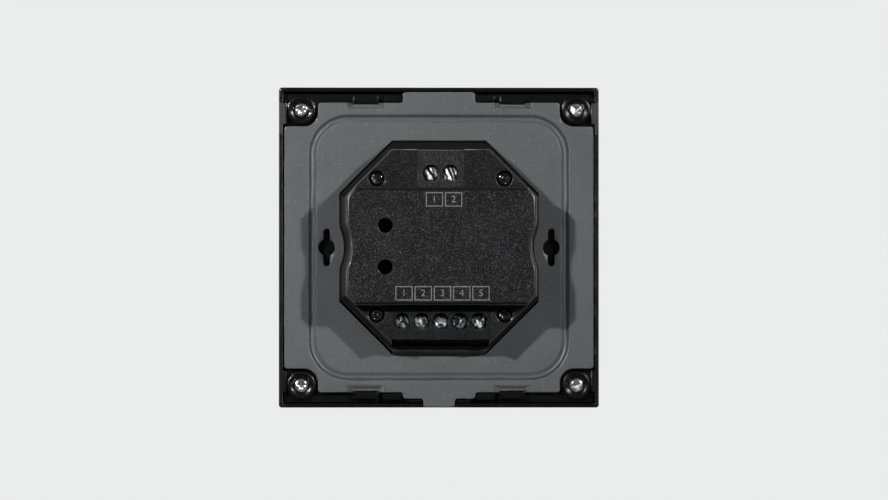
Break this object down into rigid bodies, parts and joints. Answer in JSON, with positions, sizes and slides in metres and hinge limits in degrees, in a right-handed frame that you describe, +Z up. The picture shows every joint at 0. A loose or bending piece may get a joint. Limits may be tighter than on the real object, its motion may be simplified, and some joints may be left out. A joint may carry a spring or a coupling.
{
  "type": "touch control panel",
  "caption": "Square wall-mounted touch control panel: glass front on a clip-off frame, pressed steel mounting plate and a box housing behind with screw terminals at top and bottom.",
  "frame": {"origin": "on the wall's surface, midway between the two wall screws", "axes": "+X along the wall, +Y into the wall box, +Z up; the glass faces -Y"},
  "size_m": [0.086, 0.037, 0.086],
  "materials": {
    "face_glass": "polished glass, printed black behind",
    "tape": "matt foam tape",
    "frame_plastic": "fine matt moulding",
    "plate_coat": "fine powder coat on pressed steel",
    "housing_plastic": "spark-textured moulding",
    "bright_steel": "bright zinc plate",
    "black_steel": "black oxide",
    "circuit_board": "solder resist",
    "chip_case": "matt moulding",
    "led_lens": "milky lens",
    "terminal_plastic": "satin moulding",
    "contact_brass": "tinned brass",
    "ferrite": "ground ferrite",
    "winding": "wrapped tape",
    "capacitor_can": "sleeved can",
    "film_case": "moulded case",
    "varistor_coat": "dipped coating",
    "fuse_case": "moulded case",
    "coupler_case": "moulded case",
    "fibre_sheet": "pressed fibre"
  },
  "bodies": {
    "base": {"mounting_plate": "plate_coat", "rear_housing": "housing_plastic", "housing_screws": "black_steel", "insulating_sheet": "fibre_sheet", "power_board": "circuit_board", "link_header": "chip_case", "link_pins": "contact_brass", "transformer_core": "ferrite", "transformer_coil": "winding", "bulk_capacitor": "capacitor_can", "output_capacitor": "capacitor_can", "film_capacitor": "film_case", "varistor": "varistor_coat", "fuse": "fuse_case", "rectifier_chip": "chip_case", "control_chip": "chip_case", "optocoupler": "coupler_case", "line_driver": "chip_case", "input_terminal": "terminal_plastic", "output_terminal": "terminal_plastic", "input_contact_1": "contact_brass", "input_contact_2": "contact_brass", "output_contact_1": "contact_brass", "output_contact_2": "contact_brass", "output_contact_3": "contact_brass", "output_contact_4": "contact_brass", "output_contact_5": "contact_brass"},
    "front_unit": {"glass_panel": "face_glass", "bond_tape": "tape", "front_frame": "frame_plastic", "rear_tray": "frame_plastic", "corner_screws": "bright_steel", "touch_board": "circuit_board", "touch_chip": "chip_case", "radio_chip": "chip_case", "link_socket": "chip_case", "indicator_led_1": "led_lens", "indicator_led_2": "led_lens", "indicator_led_3": "led_lens", "indicator_led_4": "led_lens", "indicator_led_5": "led_lens"},
    "input_screw_1_body": {"input_screw_1": "bright_steel"},
    "input_cage_1_body": {"input_cage_1": "bright_steel"},
    "input_screw_2_body": {"input_screw_2": "bright_steel"},
    "input_cage_2_body": {"input_cage_2": "bright_steel"},
    "output_screw_1_body": {"output_screw_1": "bright_steel"},
    "output_cage_1_body": {"output_cage_1": "bright_steel"},
    "output_screw_2_body": {"output_screw_2": "bright_steel"},
    "output_cage_2_body": {"output_cage_2": "bright_steel"},
    "output_screw_3_body": {"output_screw_3": "bright_steel"},
    "output_cage_3_body": {"output_cage_3": "bright_steel"},
    "output_screw_4_body": {"output_screw_4": "bright_steel"},
    "output_cage_4_body": {"output_cage_4": "bright_steel"},
    "output_screw_5_body": {"output_screw_5": "bright_steel"},
    "output_cage_5_body": {"output_cage_5": "bright_steel"}
  },
  "joints": [
    {"name": "front_pull", "type": "slide", "parent": "base", "child": "front_unit", "axis": [0, -1, 0], "range_m": [0, 0.03]},
    {"name": "input_screw_1_turn", "type": "hinge", "parent": "base", "child": "input_screw_1_body", "pos_m": [-0.00254, 0.014, 0.0195], "axis": [0, -1, 0], "range_deg": [0, 1440]},
    {"name": "input_cage_1_rise", "type": "slide", "parent": "base", "child": "input_cage_1_body", "axis": [0, 1, 0], "range_m": [0, 0.0018]},
    {"name": "input_screw_2_turn", "type": "hinge", "parent": "base", "child": "input_screw_2_body", "pos_m": [0.00254, 0.014, 0.0195], "axis": [0, -1, 0], "range_deg": [0, 1440]},
    {"name": "input_cage_2_rise", "type": "slide", "parent": "base", "child": "input_cage_2_body", "axis": [0, 1, 0], "range_m": [0, 0.0018]},
    {"name": "output_screw_1_turn", "type": "hinge", "parent": "base", "child": "output_screw_1_body", "pos_m": [-0.01016, 0.014, -0.0198], "axis": [0, -1, 0], "range_deg": [0, 1440]},
    {"name": "output_cage_1_rise", "type": "slide", "parent": "base", "child": "output_cage_1_body", "axis": [0, 1, 0], "range_m": [0, 0.0018]},
    {"name": "output_screw_2_turn", "type": "hinge", "parent": "base", "child": "output_screw_2_body", "pos_m": [-0.00508, 0.014, -0.0198], "axis": [0, -1, 0], "range_deg": [0, 1440]},
    {"name": "output_cage_2_rise", "type": "slide", "parent": "base", "child": "output_cage_2_body", "axis": [0, 1, 0], "range_m": [0, 0.0018]},
    {"name": "output_screw_3_turn", "type": "hinge", "parent": "base", "child": "output_screw_3_body", "pos_m": [0, 0.014, -0.0198], "axis": [0, -1, 0], "range_deg": [0, 1440]},
    {"name": "output_cage_3_rise", "type": "slide", "parent": "base", "child": "output_cage_3_body", "axis": [0, 1, 0], "range_m": [0, 0.0018]},
    {"name": "output_screw_4_turn", "type": "hinge", "parent": "base", "child": "output_screw_4_body", "pos_m": [0.00508, 0.014, -0.0198], "axis": [0, -1, 0], "range_deg": [0, 1440]},
    {"name": "output_cage_4_rise", "type": "slide", "parent": "base", "child": "output_cage_4_body", "axis": [0, 1, 0], "range_m": [0, 0.0018]},
    {"name": "output_screw_5_turn", "type": "hinge", "parent": "base", "child": "output_screw_5_body", "pos_m": [0.01016, 0.014, -0.0198], "axis": [0, -1, 0], "range_deg": [0, 1440]},
    {"name": "output_cage_5_rise", "type": "slide", "parent": "base", "child": "output_cage_5_body", "axis": [0, 1, 0], "range_m": [0, 0.0018]}
  ],
  "couplings": [
    {"joint": "input_screw_1_turn", "follows": "input_cage_1_rise", "rad_per_m": 13962},
    {"joint": "input_screw_2_turn", "follows": "input_cage_2_rise", "rad_per_m": 13962},
    {"joint": "output_screw_1_turn", "follows": "output_cage_1_rise", "rad_per_m": 13962},
    {"joint": "output_screw_2_turn", "follows": "output_cage_2_rise", "rad_per_m": 13962},
    {"joint": "output_screw_3_turn", "follows": "output_cage_3_rise", "rad_per_m": 13962},
    {"joint": "output_screw_4_turn", "follows": "output_cage_4_rise", "rad_per_m": 13962},
    {"joint": "output_screw_5_turn", "follows": "output_cage_5_rise", "rad_per_m": 13962}
  ]
}
